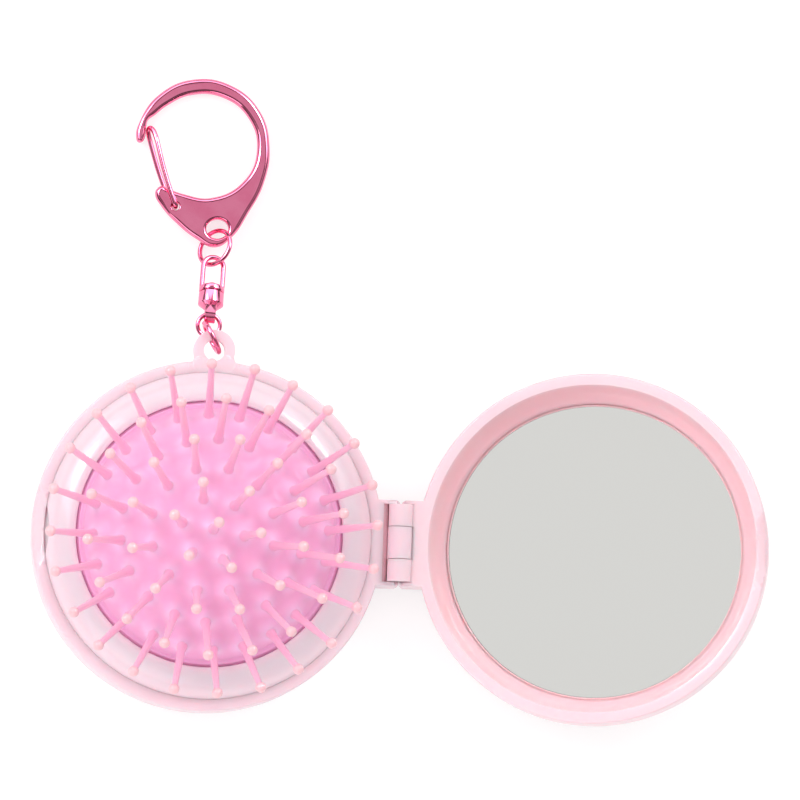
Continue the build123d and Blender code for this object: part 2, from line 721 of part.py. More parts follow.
with BuildPart() as clasp_body:
    with BuildSketch(clasp_plane.offset(-clasp_thickness / 2)):
        with BuildLine():
            tail_y = -clasp_eye_offset - 0.05
            flank = on_circle(clasp_outer_radius, -12)
            lug_inner = on_circle(clasp_inner_radius, 214)
            nose = on_circle(clasp_inner_radius, 139)
            tip_outer = on_circle(clasp_outer_radius, 169.5)
            tail_right, tail_left = (2.25, tail_y - 2.5), (-3.4, tail_y - 2.0)
            lug_outer = (-10.45, -7.9)
            ThreePointArc(flank, (9.9, -9.3), tail_right)
            ThreePointArc(tail_right, (-0.7, tail_y - clasp_tail_radius), tail_left)
            ThreePointArc(tail_left, (-7.75, -12.4), lug_outer)
            ThreePointArc(lug_outer, (-9.9, -6.15), lug_inner)
            ThreePointArc(lug_inner, on_circle(clasp_inner_radius, -4), nose)
            Polyline(nose, (-8.15, 7.15), (-9.9, 6.25))
            ThreePointArc((-9.9, 6.25), (-10.65, 5.3), (-11.0, 4.2))
            Polyline((-11.0, 4.2), (-11.1, 2.45), tip_outer)
            ThreePointArc(tip_outer, on_circle(clasp_outer_radius, 80), flank)
        make_face()
        with Locations((0, -clasp_eye_offset)):
            Ellipse(clasp_eye_width / 2, clasp_eye_height / 2, mode=Mode.SUBTRACT)
    extrude(amount=clasp_thickness)
    long_edges = clasp_body.edges().filter_by(
        lambda e: e.length > clasp_outer_radius / 2 and abs(e.tangent_at(0).dot(clasp_normal)) < 0.1
    )
    eye_edges = clasp_body.edges().filter_by(GeomType.ELLIPSE)
    chamfer(long_edges - eye_edges, clasp_bevel)
    chamfer(clasp_body.edges().filter_by(GeomType.ELLIPSE), eye_bevel)
    with BuildSketch(clasp_plane.offset(-clasp_thickness)):
        with Locations((pivot_x, pivot_y)):
            Circle(gate_pivot_radius)
    extrude(amount=2 * clasp_thickness, mode=Mode.SUBTRACT)
finish(clasp_body.part, "clasp_body", "clasp_body")

# --- clasp_gate: one bent wire, its ends in the pivot hole from both faces -------------------
with BuildPart() as clasp_gate:
    def gate_point(along, aside, height):
        """Point beside the gate's middle line, in the clasp's plane, at a height over it."""
        lean = radians(gate_lean)
        x = pivot_x - along * sin(lean) + aside * cos(lean)
        y = pivot_y + along * cos(lean) + aside * sin(lean)
        return clasp_plane.from_local_coords((x, y, height))

    face_height = clasp_thickness / 2 + gate_face_gap + gate_wire / 2
    half_width = (gate_width - gate_wire) / 2
    tip_along = gate_length - gate_wire / 2
    with BuildLine() as gate_path:
        FilletPolyline(
            gate_point(0, 0, 0.3),
            gate_point(0, 0, face_height),
            gate_point(6.2, half_width * 0.9, face_height),
            gate_point(tip_along, half_width, gate_wire * 0.55),
            gate_point(tip_along, -half_width, -gate_wire * 0.55),
            gate_point(6.2, -half_width * 0.9, -face_height),
            gate_point(0, 0, -face_height),
            gate_point(0, 0, -0.3),
            radius=0.42,
        )
    with BuildSketch(Plane(origin=gate_path.line @ 0, z_dir=gate_path.line % 0)):
        RegularPolygon(gate_wire / 2, wire_sides)
    sweep(path=gate_path.line)
finish(clasp_gate.part, "clasp_gate", "clasp_gate")
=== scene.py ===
"""Looks for the folding pocket hairbrush, its mirror lid and its key-ring chain. Metres."""
import bpy
import bmesh
import math
from mathutils import Matrix, Vector
from mathutils.geometry import tessellate_polygon


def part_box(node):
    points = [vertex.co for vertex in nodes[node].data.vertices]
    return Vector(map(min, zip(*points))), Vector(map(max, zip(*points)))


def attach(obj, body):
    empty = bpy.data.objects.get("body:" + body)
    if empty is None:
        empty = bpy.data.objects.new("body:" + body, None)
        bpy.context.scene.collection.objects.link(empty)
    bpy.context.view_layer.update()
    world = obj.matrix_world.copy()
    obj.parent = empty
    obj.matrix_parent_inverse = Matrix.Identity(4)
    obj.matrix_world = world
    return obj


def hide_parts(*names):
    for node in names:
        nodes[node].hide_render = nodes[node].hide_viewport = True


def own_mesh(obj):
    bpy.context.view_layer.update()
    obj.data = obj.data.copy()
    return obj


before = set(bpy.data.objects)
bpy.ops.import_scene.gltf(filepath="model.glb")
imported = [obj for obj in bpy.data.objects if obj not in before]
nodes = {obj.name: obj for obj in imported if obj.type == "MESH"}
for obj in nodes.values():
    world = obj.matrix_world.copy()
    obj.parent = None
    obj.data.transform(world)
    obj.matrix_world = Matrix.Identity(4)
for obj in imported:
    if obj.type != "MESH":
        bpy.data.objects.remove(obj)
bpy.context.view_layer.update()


# --- Base shell and lid shell: the two halves of the case ---------------------------------------
# Injection-moulded ABS in a pale pearl pink. The base carries the key loop and the middle hinge
# knuckle, the lid the other two knuckles. They leave the mould with a fine orange-peel gloss.
class Socket:
    """A shader socket that takes part in Python sums."""

    def __init__(self, finish, socket):
        self.finish = finish
        self.socket = socket

    def maths(self, operation, other, turned=False):
        pair = (other, self) if turned else (self, other)
        return self.finish.node("ShaderNodeMath", {"operation": operation}, {0: pair[0], 1: pair[1]})

    def __add__(self, other):
        return self.maths("ADD", other)

    def __sub__(self, other):
        return self.maths("SUBTRACT", other)

    def __rsub__(self, other):
        return self.maths("SUBTRACT", other, turned=True)

    def __mul__(self, other):
        return self.maths("MULTIPLY", other)

    __radd__ = __add__
    __rmul__ = __mul__

    def clamped(self):
        return self.finish.node("ShaderNodeClamp", {}, {0: self})


class Finish:
    """A material whose shader maths is written as Python sums."""

    def __init__(self, name, **settings):
        self.material = bpy.data.materials.new(name)
        self.material.use_nodes = True
        self.tree = self.material.node_tree
        self.shader = self.tree.nodes["Principled BSDF"]
        for label, value in settings.items():
            self.shader.inputs[label.replace("_", " ").title().replace("Ior", "IOR")].default_value = value
        self.place = self.node("ShaderNodeTexCoord", {}, {}, "Object")

    def node(self, kind, settings, values, output=0):
        made = self.tree.nodes.new(kind)
        for label, value in settings.items():
            if label == "stops":
                ramp = made.color_ramp
                for index, (position, shade) in enumerate(value):
                    stop = ramp.elements[index] if index < 2 else ramp.elements.new(position)
                    stop.position = position
                    stop.color = (*shade, 1) if len(shade) == 3 else shade
            else:
                setattr(made, label, value)
        for label, value in values.items():
            self.feed(made.inputs[label], value)
        return Socket(self, made.outputs[output])

    def feed(self, entry, value):
        if isinstance(value, Socket):
            self.tree.links.new(value.socket, entry)
        elif isinstance(value, tuple) and len(value) == 3 and entry.type == "RGBA":
            entry.default_value = (*value, 1)
        else:
            entry.default_value = value

    def paint(self, label, value):
        self.feed(self.shader.inputs[label], value)

    def noise(self, scale, detail=2.0, stretch=None):
        """Noise from 0 to 1, with scale in cells per metre."""
        place = self.place
        if stretch:
            place = self.node("ShaderNodeMapping", {}, {"Vector": place, "Scale": stretch})
        return self.node("ShaderNodeTexNoise", {}, {
            "Vector": place, "Scale": scale, "Detail": detail}, "Fac")

    def band(self, value, low, high, low_to=0.0, high_to=1.0):
        """Value carried from one range to another, held at its ends."""
        return self.node("ShaderNodeMapRange", {"interpolation_type": "SMOOTHSTEP"},
                         {0: value, 1: low, 2: high, 3: low_to, 4: high_to})

    def mix(self, factor, first, second):
        return self.node("ShaderNodeMix", {"data_type": "RGBA"}, {0: factor, 6: first, 7: second}, 2)

    def painted_on(self, name):
        """Value that a mesh carries at its points under this name."""
        return self.node("ShaderNodeAttribute", {"attribute_name": name}, {}, "Fac")

    def bump(self, height, strength, distance):
        self.paint("Normal", self.node("ShaderNodeBump", {}, {
            "Strength": strength, "Distance": distance, "Height": height}))


def pearl_plastic(name, pale, deep, gloss, painted_hollow_shade=None):
    """Pale moulded plastic: cloudy pearl in the colour, the faintest orange peel in the gloss.

    The hollows colour is painted shade: a deeper colour painted on hollows that sit in shade."""
    finish = Finish(name, roughness=0.3, coat_weight=gloss, coat_roughness=0.08, ior=1.5,
                    specular_ior_level=0.3, subsurface_weight=0.5, subsurface_scale=0.003,
                    subsurface_radius=(1.0, 0.35, 0.42))
    cloud = finish.noise(30, 2)
    colour = finish.mix(finish.band(cloud, 0.3, 0.7), deep, pale)
    # Painted shade: where a mesh marks its hollows, the colour turns to the deeper hollows colour.
    if painted_hollow_shade:
        colour = finish.mix(finish.painted_on("painted_hollow_shade"), colour, painted_hollow_shade)
    finish.paint("Base Color", colour)
    finish.paint("Roughness", finish.band(finish.noise(300, 2), 0.3, 0.7, 0.3, 0.38))
    finish.bump(finish.noise(2600, 2), 0.03, 0.00003)
    return finish.material


def dress(node, material):
    for slot in nodes[node].material_slots:
        slot.material = material


def new_piece(name, mesh, material, smooth=True):
    piece = bpy.data.objects.new(name, mesh)
    bpy.context.scene.collection.objects.link(piece)
    if material and not mesh.materials:
        mesh.materials.append(material)
    if smooth:
        mesh.shade_smooth()
    return piece


def crisp(piece, sharp):
    """Smooth shading that breaks at edges past an angle and keeps flat faces flat."""
    piece.data.set_sharp_from_angle(angle=math.radians(sharp))
    weighted = piece.modifiers.new("flat_faces", "WEIGHTED_NORMAL")
    weighted.keep_sharp = True


def moulded(node, name, body, material, sharp=50, block=None):
    """The CAD node's own form, with its facets merged so that rounds and bevels catch the light.

    A block is a prism along Y, from corner points (x, z) and half a length, added to it."""
    shape = bmesh.new()
    shape.from_mesh(nodes[node].data)
    if block:
        corners, half = block
        near, far = [[shape.verts.new((x, y, z)) for x, z in corners] for y in (-half, half)]
        walls = [shape.faces.new(near), shape.faces.new(far[::-1])]
        for step in range(len(corners)):
            after = (step + 1) % len(corners)
            walls.append(shape.faces.new((near[step], near[after], far[after], far[step])))
        bmesh.ops.recalc_face_normals(shape, faces=walls)
    bmesh.ops.remove_doubles(shape, verts=shape.verts, dist=2e-6)
    bmesh.ops.dissolve_degenerate(shape, edges=shape.edges, dist=1e-6)
    mesh = bpy.data.meshes.new(name)
    shape.to_mesh(mesh)
    shape.free()
    piece = new_piece(name, mesh, material)
    crisp(piece, sharp)
    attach(piece, body)
    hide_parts(node)
    return piece


shell_plastic = pearl_plastic(
    "shell_plastic", (0.955, 0.70, 0.765), (0.945, 0.665, 0.735), 0.15, painted_hollow_shade=(0.93, 0.50, 0.56))
lid_plastic = pearl_plastic(
    "lid_plastic", (0.955, 0.695, 0.75), (0.945, 0.665, 0.725), 0.15, painted_hollow_shade=(0.93, 0.57, 0.625))
slot_fillet = (
    (0.0329, 0.0117), (0.0333, 0.0115), (0.03386, 0.01125), (0.03394, 0.0106), (0.0342, 0.0102),
    (0.0342, 0.0094), (0.0329, 0.0094),
)
fillet_half = 0.00734
hinge_x = 0.0362
hinge_z = 0.012
trough_arc = [math.radians(degrees) for degrees in (4, -6, -18, -30, -42)]
trough_lining = [
    (hinge_x + radius * math.cos(turn), hinge_z + radius * math.sin(turn))
    for radius, arc in ((0.0027, trough_arc), (0.0023, trough_arc[::-1])) for turn in arc
]
trough_half = 0.00305
base_piece = moulded("base_shell", "base_shell_moulding", "base", shell_plastic,
                     block=(slot_fillet, fillet_half))
# Painted shade: the hinge slot's fillet block is painted in the deeper hollows colour, for the shade between
# the knuckle barrel and the base wall.
slot_shade = base_piece.data.attributes.new("painted_hollow_shade", "FLOAT", "POINT")
for point, value in zip(base_piece.data.vertices, slot_shade.data):
    if abs(abs(point.co.y) - fillet_half) < 1e-6 and 0.0328 < point.co.x < 0.0343:
        value.value = 1.0
lid_piece = moulded("lid_shell", "lid_shell_moulding", "lid", lid_plastic,
                    block=(trough_lining, trough_half))
mirror_low, mirror_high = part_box("mirror")
mirror_middle = (mirror_low + mirror_high) / 2
lid_lean = math.radians(10)
lid_normal = Vector((-math.sin(lid_lean), 0, math.cos(lid_lean)))
bowl_depth = 0.0091
bowl_radius = 0.0311
lip = 0.0003
fade = 0.002
lid_rim_middle = mirror_middle + lid_normal * bowl_depth
# Painted shade: inside the lid's bowl, below a thin lip, the wall is painted in the deeper hollows colour,
# fading in over 2 mm, for the shade there.
bowl_shade = lid_piece.data.attributes.new("painted_hollow_shade", "FLOAT", "POINT")
for point, value in zip(lid_piece.data.vertices, bowl_shade.data):
    off = point.co - lid_rim_middle
    below = -off.dot(lid_normal)
    if (off + lid_normal * below).length < bowl_radius:
        value.value = min(max((below - lip) / fade, 0.0), 1.0)

# --- Hinge pin ----------------------------------------------------------------------------------
# Drawn steel wire, 1.6 mm thick, pressed into the middle knuckle and free to turn in the other two.
# Only its ends can be seen.
drawn_steel = Finish("drawn_steel", metallic=1.0, roughness=0.3)
drawn_steel.paint("Base Color", drawn_steel.mix(
    drawn_steel.noise(900, 2, (1, 0.05, 1)), (0.55, 0.55, 0.57), (0.72, 0.72, 0.74)))
dress("hinge_pin", drawn_steel.material)


# --- Front collar -------------------------------------------------------------------------------
# A glossy moulded ring that snaps into the rim and hides the cushion's edge. Its crown is rounded,
# with a soft shoulder before the opening, and it is cut back under the thumb scoop.
def turned(name, profile, steps, closed):
    """Mesh turned about Z from points (radius, height)."""
    shape = bmesh.new()
    turns = [math.tau * step / steps for step in range(steps)]
    rings = []
    for radius, height in profile:
        if radius < 1e-7:
            rings.append([shape.verts.new((0, 0, height))])
            continue
        rings.append([
            shape.verts.new((radius * math.cos(turn), radius * math.sin(turn), height)) for turn in turns
        ])
    pairs = list(zip(rings, rings[1:]))
    if closed:
        pairs.append((rings[-1], rings[0]))
    for low, high in pairs:
        for step in range(steps):
            after = (step + 1) % steps
            corners = [low[step % len(low)], low[after % len(low)]]
            corners += [high[after % len(high)], high[step % len(high)]]
            unique = list(dict.fromkeys(corners))
            if len(unique) > 2:
                shape.faces.new(unique)
    bmesh.ops.recalc_face_normals(shape, faces=shape.faces)
    mesh = bpy.data.meshes.new(name)
    shape.to_mesh(mesh)
    shape.free()
    return mesh


def rounded(points, steps=6):
    """Smooth run through corner points, as a quadratic spline that starts and ends on them."""
    middles = [points[0]] + [
        ((a[0] + b[0]) / 2, (a[1] + b[1]) / 2) for a, b in zip(points[1:-2], points[2:-1])
    ] + [points[-1]]
    run = [points[0]]
    for start, corner, end in zip(middles, points[1:-1], middles[1:]):
        for step in range(1, steps + 1):
            t = step / steps
            run.append(tuple(
                (1 - t) ** 2 * start[k] + 2 * t * (1 - t) * corner[k] + t * t * end[k] for k in (0, 1)
            ))
    return run


rim_z = 0.01195
collar_top = 0.0165
opening = 0.025
crown = rounded([
    (0.03084, rim_z - 0.0004), (0.03072, rim_z + 0.0003), (0.0301, rim_z + 0.0016), (0.0289, rim_z + 0.0031),
    (0.0271, collar_top - 0.00045), (0.0259, collar_top), (opening + 0.0002, collar_top),
    (opening, collar_top - 0.0002), (opening, collar_top - 0.0008),
], 8)
profile = crown + [
    (opening + 0.0002, collar_top - 0.0009), (opening + 0.0019, collar_top - 0.0009),
    (0.0285, rim_z + 0.0022), (0.0291, rim_z - 0.0008), (0.0307, rim_z - 0.0008),
]
scoop_reach = 0.0479
scoop_radius = 0.018
collar_mesh = turned("front_collar_ring", profile, 240, closed=True)
for point in collar_mesh.vertices:
    off = Vector((point.co.x + scoop_reach, point.co.y))
    if off.length < scoop_radius and point.co.z > rim_z - 0.0006:
        off = off.normalized() * scoop_radius
        point.co.x, point.co.y = off.x - scoop_reach, off.y
collar_plastic = pearl_plastic("collar_plastic", (0.965, 0.68, 0.75), (0.96, 0.65, 0.725), 0.45)
front_collar = new_piece("front_collar_ring", collar_mesh, collar_plastic)
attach(front_collar, "base")
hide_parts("front_collar")

# --- Push button and carrier --------------------------------------------------------------------
# Moulded in plain pink ABS, with a satin face where the finger pushes the brush out.
satin_plastic = Finish("satin_plastic", roughness=0.45, ior=1.5)
satin_plastic.paint("Base Color", satin_plastic.mix(
    satin_plastic.noise(60, 3), (0.88, 0.56, 0.66), (0.92, 0.64, 0.73)))
satin_plastic.bump(satin_plastic.noise(2200, 3), 0.25, 0.00005)
dress("push_button", satin_plastic.material)
dress("dome_carrier", satin_plastic.material)

# --- Cushion ------------------------------------------------------------------------------------
# Soft silicone dome, moulded in a stronger pink than the case. It swells round the root of each
# pin, and its flat edge is caught under the collar. It is air-backed and firm, so it keeps its shape.
dome_middle = Vector((0, 0, -0.0067))
dome_radius = 0.0331
cushion_edge = 0.02495
crease = 0.0235
pin_counts = (1, 6, 12, 18, 24)
pin_tilts = (0, 10, 20, 30, 40)
pin_starts = (0, -10, -12.5, 8, 3)


def pin_direction(ring, index):
    tilt = math.radians(pin_tilts[ring])
    turn = math.radians(pin_starts[ring] + 360 / pin_counts[ring] * index)
    return Vector((math.sin(tilt) * math.cos(turn), math.sin(tilt) * math.sin(turn), math.cos(tilt)))


pin_roots = [
    dome_middle + pin_direction(ring, index) * dome_radius
    for ring, count in enumerate(pin_counts) for index in range(count)
]
dome_rings = 56
dome_run = []
for ring in range(dome_rings + 1):
    radius = crease * ring / dome_rings
    dome_run.append((radius, dome_middle.z + math.sqrt(dome_radius ** 2 - radius ** 2)))
edge_run = [
    (crease + 0.0001, 0.0163), (crease + 0.0005, 0.0162), (cushion_edge - 0.0006, 0.01625),
    (cushion_edge - 0.00042, 0.01615), (cushion_edge - 0.00036, 0.0159), (cushion_edge, 0.01582),
    (cushion_edge, 0.0154), (crease - 0.002, 0.01535),
]
cushion_mesh = turned("cushion_dome", dome_run + edge_run, 288, closed=False)
swell_height = 0.0014
swell_width = 0.0015
swell = cushion_mesh.attributes.new("swell", "FLOAT", "POINT")
for point, value in zip(cushion_mesh.vertices, swell.data):
    if math.hypot(point.co.x, point.co.y) > crease - 0.0002 or point.co.z < 0.0164:
        continue
    lift = 0.0
    for root in pin_roots:
        apart = (point.co - root).length_squared
        if apart < (4 * swell_width) ** 2:
            lift += swell_height * math.exp(-apart / (2 * swell_width ** 2))
    value.value = lift / swell_height
    point.co += (point.co - dome_middle).normalized() * lift
silicone = Finish("silicone", roughness=0.42, ior=1.43, sheen_weight=0.2, sheen_roughness=0.5,
                  subsurface_weight=0.4, subsurface_scale=0.002, subsurface_radius=(1.0, 0.35, 0.6))
# Painted light and shade: the cushion is painted lighter on the swells round the pins and darker in the
# valleys between, with a random mottle of tone over it.
swell_shade_and_mottle = silicone.painted_on("swell") + 0.3 * (silicone.noise(120, 3) - 0.5)
silicone.paint("Base Color", silicone.mix(
    silicone.band(swell_shade_and_mottle, 0.05, 0.9), (0.955, 0.42, 0.68), (0.97, 0.56, 0.81)))
silicone.paint("Roughness", silicone.band(silicone.noise(500, 2), 0.3, 0.7, 0.36, 0.5))
silicone.bump(silicone.noise(2600, 3) + 0.5 * silicone.noise(500, 2), 0.2, 0.00006)
cushion = new_piece("cushion_dome", cushion_mesh, silicone.material)
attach(cushion, "carriage")
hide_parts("cushion")


# --- Pins ---------------------------------------------------------------------------------------
# Sixty-one nylon pins in a centre and four rings, each square to the dome: a tapered stem with a
# flared root, and a round ball tip dipped in a paler coat. The outermost ring is built in eight groups.
class Tree:
    """A Geometry Nodes tree with named sizes, written as calls."""

    def __init__(self, name, sizes):
        self.tree = bpy.data.node_groups.new(name, "GeometryNodeTree")
        self.tree.interface.new_socket("Geometry", in_out="OUTPUT", socket_type="NodeSocketGeometry")
        for label, value in sizes.items():
            kind = "NodeSocketInt" if isinstance(value, int) else "NodeSocketFloat"
            self.tree.interface.new_socket(label, in_out="INPUT", socket_type=kind).default_value = value
        self.entry = self.tree.nodes.new("NodeGroupInput")

    def size(self, label):
        return self.entry.outputs[label]

    def node(self, kind, settings, values, output=0):
        made = self.tree.nodes.new(kind)
        for label, value in settings.items():
            setattr(made, label, value)
        for label, value in values.items():
            for single in value if isinstance(value, list) else [value]:
                if isinstance(single, bpy.types.NodeSocket):
                    self.tree.links.new(single, made.inputs[label])
                else:
                    made.inputs[label].default_value = single
        return made.outputs[output]

    def maths(self, operation, first, second=0.0):
        return self.node("ShaderNodeMath", {"operation": operation}, {0: first, 1: second})

    def finish(self, geometry, material):
        plain = self.node("GeometryNodeRealizeInstances", {}, {0: geometry})
        dressed = self.node("GeometryNodeSetMaterial", {}, {"Geometry": plain, "Material": material})
        self.tree.links.new(dressed, self.tree.nodes.new("NodeGroupOutput").inputs[0])
        return self


def grown(name, tree, sizes):
    """Plain mesh that a tree gives for some sizes."""
    carrier = bpy.data.objects.new(name + "_seed", bpy.data.meshes.new(name + "_seed"))
    bpy.context.scene.collection.objects.link(carrier)
    modifier = carrier.modifiers.new("tree", "NODES")
    modifier.node_group = tree.tree
    for item in tree.tree.interface.items_tree:
        if item.in_out == "INPUT" and item.name in sizes:
            modifier[item.identifier] = sizes[item.name]
    bpy.context.view_layer.update()
    evaluated = carrier.evaluated_get(bpy.context.evaluated_depsgraph_get())
    mesh = bpy.data.meshes.new_from_object(evaluated)
    mesh.name = name
    bpy.data.objects.remove(carrier)
    return mesh


nylon = Finish("nylon", roughness=0.32, ior=1.5, coat_weight=0.3, coat_roughness=0.2,
               subsurface_weight=0.3, subsurface_scale=0.001, subsurface_radius=(1.0, 0.4, 0.5))
stem_pink = nylon.mix(
    nylon.band(nylon.painted_on("along"), 0.0, 0.8), (0.955, 0.49, 0.72), (0.955, 0.55, 0.68))
stem_pink = nylon.mix(nylon.noise(300, 2), stem_pink, (0.95, 0.50, 0.68))
nylon.paint("Base Color", nylon.mix(nylon.painted_on("tip"), stem_pink, (0.94, 0.56, 0.61)))
nylon.bump(nylon.noise(1800, 2), 0.1, 0.00004)

pin_tree = Tree("pin_ring", {
    "Count": 6, "Lean": 0.2, "Start": 0.0, "Step": 1.0, "Dome Radius": dome_radius,
    "Dome Height": dome_middle.z, "Stem Length": 0.0139, "Root Radius": 0.00084, "Neck Radius": 0.00056,
    "Root Flare": 0.0007, "Ball Radius": 0.00102, "Ball Lift": 0.0005, "Sway": 0.018, "Seed": 4,
})
stem_line = pin_tree.node("GeometryNodeCurvePrimitiveLine", {}, {
    "End": pin_tree.node("ShaderNodeCombineXYZ", {}, {2: pin_tree.size("Stem Length")})})
stem_line = pin_tree.node("GeometryNodeResampleCurve", {}, {"Curve": stem_line, "Count": 14})
height = pin_tree.node("GeometryNodeSplineParameter", {}, {}, "Factor")
stem_line = pin_tree.node("GeometryNodeStoreNamedAttribute", {"data_type": "FLOAT"}, {
    "Geometry": stem_line, "Name": "along", "Value": height})
taper = pin_tree.node("ShaderNodeMapRange", {}, {
    0: height, 1: 0.0, 2: 1.0, 3: pin_tree.size("Root Radius"), 4: pin_tree.size("Neck Radius")})
flare = pin_tree.maths("POWER", pin_tree.maths("SUBTRACT", 1.0, height), 14.0)
flare = pin_tree.maths("MULTIPLY", flare, pin_tree.size("Root Flare"))
stem = pin_tree.node("GeometryNodeCurveToMesh", {}, {
    "Curve": stem_line,
    "Profile Curve": pin_tree.node("GeometryNodeCurvePrimitiveCircle", {}, {
        "Resolution": 14, "Radius": 1.0}),
    "Scale": pin_tree.maths("ADD", taper, flare)})
ball = pin_tree.node("GeometryNodeMeshUVSphere", {}, {
    "Segments": 18, "Rings": 12, "Radius": pin_tree.size("Ball Radius")})
ball = pin_tree.node("GeometryNodeTransform", {}, {
    "Geometry": ball,
    "Translation": pin_tree.node("ShaderNodeCombineXYZ", {}, {
        2: pin_tree.maths("ADD", pin_tree.size("Stem Length"), pin_tree.size("Ball Lift"))})})
ball = pin_tree.node("GeometryNodeStoreNamedAttribute", {"data_type": "FLOAT"}, {
    "Geometry": ball, "Name": "tip", "Value": 1.0})
pin = pin_tree.node("GeometryNodeJoinGeometry", {}, {0: [stem, ball]})
pin = pin_tree.node("GeometryNodeSetShadeSmooth", {}, {"Geometry": pin})
turn = pin_tree.maths("ADD", pin_tree.size("Start"), pin_tree.maths(
    "MULTIPLY", pin_tree.node("GeometryNodeInputIndex", {}, {}), pin_tree.size("Step")))
reach = pin_tree.maths("MULTIPLY", pin_tree.size("Dome Radius"), pin_tree.maths(
    "SINE", pin_tree.size("Lean")))
circle_z = pin_tree.maths("ADD", pin_tree.size("Dome Height"), pin_tree.maths(
    "MULTIPLY", pin_tree.size("Dome Radius"), pin_tree.maths("COSINE", pin_tree.size("Lean"))))
circle = pin_tree.node("GeometryNodePoints", {}, {
    "Count": pin_tree.size("Count"),
    "Position": pin_tree.node("ShaderNodeCombineXYZ", {}, {
        0: pin_tree.maths("MULTIPLY", reach, pin_tree.maths("COSINE", turn)),
        1: pin_tree.maths("MULTIPLY", reach, pin_tree.maths("SINE", turn)),
        2: circle_z})})
outward = pin_tree.node("ShaderNodeVectorMath", {"operation": "SUBTRACT"}, {
    0: pin_tree.node("GeometryNodeInputPosition", {}, {}),
    1: pin_tree.node("ShaderNodeCombineXYZ", {}, {2: pin_tree.size("Dome Height")})})
outward = pin_tree.node("ShaderNodeVectorMath", {"operation": "NORMALIZE"}, {0: outward})
sway = pin_tree.node("FunctionNodeRandomValue", {"data_type": "FLOAT_VECTOR"}, {
    0: (-1.0, -1.0, -1.0), 1: (1.0, 1.0, 1.0), "Seed": pin_tree.size("Seed")})
sway = pin_tree.node("ShaderNodeVectorMath", {"operation": "SCALE"}, {
    0: sway, "Scale": pin_tree.size("Sway")})
lean = pin_tree.node("ShaderNodeVectorMath", {"operation": "ADD"}, {0: outward, 1: sway})
facing = pin_tree.node("FunctionNodeAlignRotationToVector", {"axis": "Z"}, {"Vector": lean})
pin_tree.finish(pin_tree.node("GeometryNodeInstanceOnPoints", {}, {
    "Points": circle, "Instance": pin, "Rotation": facing}), nylon.material)

pin_nodes = ("centre_pin", "pins_ring_1", "pins_ring_2", "pins_ring_3", "pins_ring_4")
pin_groups = (1, 1, 1, 1, 8)
for ring, node in enumerate(pin_nodes):
    groups = pin_groups[ring]
    count = pin_counts[ring] // groups
    for group in range(groups):
        name = f"{node}_nylon_{group}"
        pins = new_piece(name, grown(name, pin_tree, {
            "Count": count, "Lean": math.radians(pin_tilts[ring]), "Step": math.tau / pin_counts[ring],
            "Start": math.radians(pin_starts[ring]) + math.tau * group / groups,
            "Seed": 4 + ring + 10 * group,
        }), None)
        folding = pin_direction(ring, group * count + 1)
        root = dome_middle + folding * dome_radius
        if groups == 1:
            folding = Vector((0, 0, 1))
            root = Vector((0, 0, root.z))
        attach(pins, "carriage")
        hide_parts(node)
        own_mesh(pins)

# --- Mirror and its pad -------------------------------------------------------------------------
# Float glass, 1.3 mm thick, silvered behind and ground to a fine bevel, stuck on a thin foam disc.
silvered = Finish("silvered_glass", metallic=1.0, base_color=(0.96, 0.955, 0.925, 1))
silvered.paint("Roughness", silvered.band(silvered.noise(90, 3), 0.4, 0.8, 0.015, 0.04))
mirror_half = 0.00065
mirror_edge = 0.02805
plate_mesh = turned("mirror_plate", [
    (0, mirror_half), (mirror_edge - 0.0006, mirror_half), (mirror_edge - 0.00035, mirror_half - 0.00004),
    (mirror_edge - 0.0001, mirror_half - 0.00014), (mirror_edge, mirror_half - 0.00032),
    (mirror_edge, -mirror_half), (0, -mirror_half),
], 256, closed=False)
plate_mesh.transform(Matrix.Translation(mirror_middle) @ Matrix.Rotation(-lid_lean, 4, "Y"))
mirror_plate = new_piece("mirror_plate", plate_mesh, silvered.material)
crisp(mirror_plate, 50)
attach(mirror_plate, "lid")
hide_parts("mirror")
foam = Finish("foam", roughness=0.9)
foam.paint("Base Color", foam.mix(foam.noise(3000, 2), (0.78, 0.74, 0.74), (0.88, 0.85, 0.85)))
foam.bump(foam.noise(4000, 2), 0.4, 0.0001)
dress("mirror_pad", foam.material)


# --- Chain: jump rings, swivel and shackle ------------------------------------------------------
# Zinc fittings, electroplated and lacquered metallic pink. The rings are bent from round wire and
# closed butt to butt, the swivel's eye is turned on a riveted pin, and the shackle is bent wire.
pink_metal = Finish("pink_metal", metallic=1.0, roughness=0.14)
plating = pink_metal.band(pink_metal.noise(260, 4), 0.3, 0.7)
pink_metal.paint("Base Color", pink_metal.mix(plating, (0.88, 0.215, 0.375), (0.92, 0.265, 0.43)))
pink_metal.paint("Roughness", pink_metal.band(pink_metal.noise(1800, 3), 0.3, 0.7, 0.08, 0.14))
pink_metal.bump(pink_metal.noise(700, 2), 0.015, 0.00003)

ring_tree = Tree("wire_ring", {"Ring Radius": 0.003, "Wire Radius": 0.0005})
ring_path = ring_tree.node("GeometryNodeCurvePrimitiveCircle", {}, {
    "Resolution": 96, "Radius": ring_tree.size("Ring Radius")})
ring_mesh = ring_tree.node("GeometryNodeCurveToMesh", {}, {
    "Curve": ring_path,
    "Profile Curve": ring_tree.node("GeometryNodeCurvePrimitiveCircle", {}, {
        "Resolution": 20, "Radius": ring_tree.size("Wire Radius")})})
ring_mesh = ring_tree.node("GeometryNodeSetShadeSmooth", {}, {"Geometry": ring_mesh})
ring_tree.finish(ring_mesh, pink_metal.material)


def ring_frame(node):
    """Centre, normal and mean radius of a CAD ring."""
    points = [Vector(v.co) for v in nodes[node].data.vertices]
    low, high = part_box(node)
    middle = (low + high) / 2
    inner = min((p - middle).length for p in points)
    outer = max((p - middle).length for p in points)
    normal = Vector()
    for a, b in zip(points[::7], points[3::7]):
        turn = (a - middle).cross(b - middle)
        normal += turn if turn.dot(normal) >= 0 else -turn
    return middle, normal.normalized(), (inner + outer) / 2


